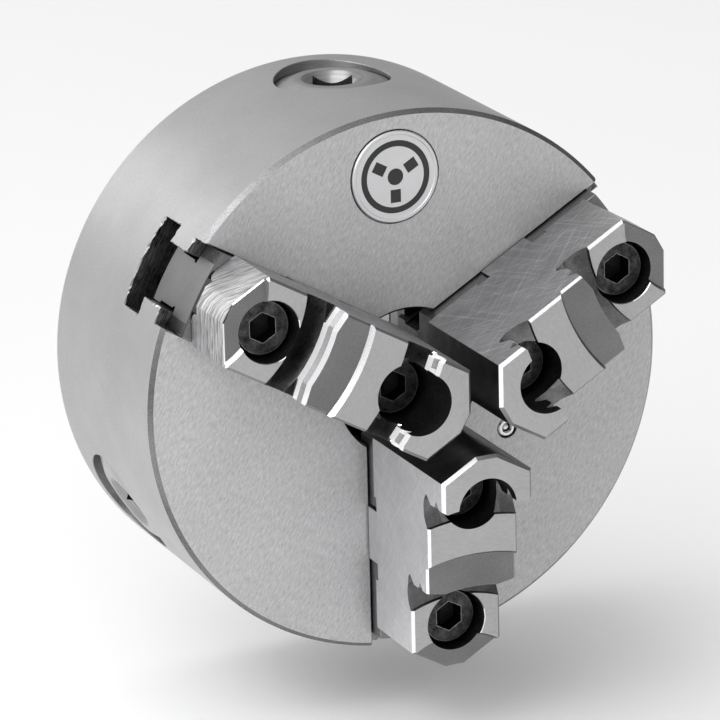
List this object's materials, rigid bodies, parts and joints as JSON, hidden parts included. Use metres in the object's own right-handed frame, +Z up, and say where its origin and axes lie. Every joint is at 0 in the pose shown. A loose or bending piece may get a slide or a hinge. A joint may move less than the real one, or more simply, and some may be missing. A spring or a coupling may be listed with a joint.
{
  "type": "lathe chuck",
  "caption": "Self-centring lathe chuck with two-piece reversible stepped jaws, a scroll plate turned by bevel pinions, a through bore and square key sockets.",
  "frame": {"origin": "centre of the rear mounting face, on the spindle axis", "axes": "+Y along the spindle axis into the lathe spindle, the chuck face and jaws look along -Y, +Z up through the first key socket"},
  "size_m": [0.125, 0.0942, 0.125],
  "materials": {
    "chuck_body": "ground and satin bright",
    "cover_steel": "turned",
    "hardened_steel": "hardened and machined",
    "master_jaw_steel": "hardened, milled and ground guides",
    "top_jaw_steel": "hardened and ground",
    "black_oxide": "black oxide",
    "badge_plate": "satin plate with a dark ring",
    "oiler_steel": "polished"
  },
  "bodies": {
    "chuck_body": {"body": "chuck_body", "rear_cover": "cover_steel", "badge": "badge_plate", "oiler_cup": "oiler_steel", "cover_screw_1": "black_oxide", "cover_screw_2": "black_oxide", "cover_screw_3": "black_oxide", "pinion_screw_1": "black_oxide", "pinion_screw_2": "black_oxide", "pinion_screw_3": "black_oxide"},
    "scroll": {"scroll_plate": "hardened_steel"},
    "oiler_button": {"oiler_ball": "oiler_steel"},
    "jaw_1": {"master_jaw_1": "master_jaw_steel", "top_jaw_1": "top_jaw_steel", "jaw_screw_inner_1": "black_oxide", "jaw_screw_outer_1": "black_oxide"},
    "jaw_2": {"master_jaw_2": "master_jaw_steel", "top_jaw_2": "top_jaw_steel", "jaw_screw_inner_2": "black_oxide", "jaw_screw_outer_2": "black_oxide"},
    "jaw_3": {"master_jaw_3": "master_jaw_steel", "top_jaw_3": "top_jaw_steel", "jaw_screw_inner_3": "black_oxide", "jaw_screw_outer_3": "black_oxide"},
    "pinion_1": {"pinion_1": "hardened_steel"},
    "pinion_2": {"pinion_2": "hardened_steel"},
    "pinion_3": {"pinion_3": "hardened_steel"}
  },
  "joints": [
    {"name": "scroll_turn", "type": "hinge", "parent": "chuck_body", "child": "scroll", "pos_m": [0, 0, 0], "axis": [0, 1, 0], "range_deg": [-225, 1080]},
    {"name": "jaw_1_slide", "type": "slide", "parent": "chuck_body", "child": "jaw_1", "axis": [0.866, 0, 0.5], "range_m": [-0.00376, 0.01801]},
    {"name": "jaw_2_slide", "type": "slide", "parent": "chuck_body", "child": "jaw_2", "axis": [-0.866, 0, 0.5], "range_m": [-0.00376, 0.01801]},
    {"name": "jaw_3_slide", "type": "slide", "parent": "chuck_body", "child": "jaw_3", "axis": [0, 0, -1], "range_m": [-0.00376, 0.01801]},
    {"name": "pinion_1_turn", "type": "hinge", "parent": "chuck_body", "child": "pinion_1", "pos_m": [0, -0.0186, 0.0601], "axis": [0, 0, 1], "range_deg": [-1013, 4861]},
    {"name": "pinion_2_turn", "type": "hinge", "parent": "chuck_body", "child": "pinion_2", "pos_m": [-0.05205, -0.0186, -0.03005], "axis": [-0.866, 0, -0.5], "range_deg": [-1013, 4861]},
    {"name": "pinion_3_turn", "type": "hinge", "parent": "chuck_body", "child": "pinion_3", "pos_m": [0.05205, -0.0186, -0.03005], "axis": [0.866, 0, -0.5], "range_deg": [-1013, 4861]},
    {"name": "oiler_press", "type": "slide", "parent": "chuck_body", "child": "oiler_button", "axis": [0, 1, 0], "range_m": [0, 0.0008], "stiffness_N_per_m": 300, "springref_m": -0.0003}
  ],
  "couplings": [
    {"joint": "jaw_1_slide", "follows": "scroll_turn", "m_per_rad": 0.00095493},
    {"joint": "jaw_2_slide", "follows": "scroll_turn", "m_per_rad": 0.00095493},
    {"joint": "jaw_3_slide", "follows": "scroll_turn", "m_per_rad": 0.00095493},
    {"joint": "pinion_1_turn", "follows": "scroll_turn", "ratio": 4.5},
    {"joint": "pinion_2_turn", "follows": "scroll_turn", "ratio": 4.5},
    {"joint": "pinion_3_turn", "follows": "scroll_turn", "ratio": 4.5}
  ]
}
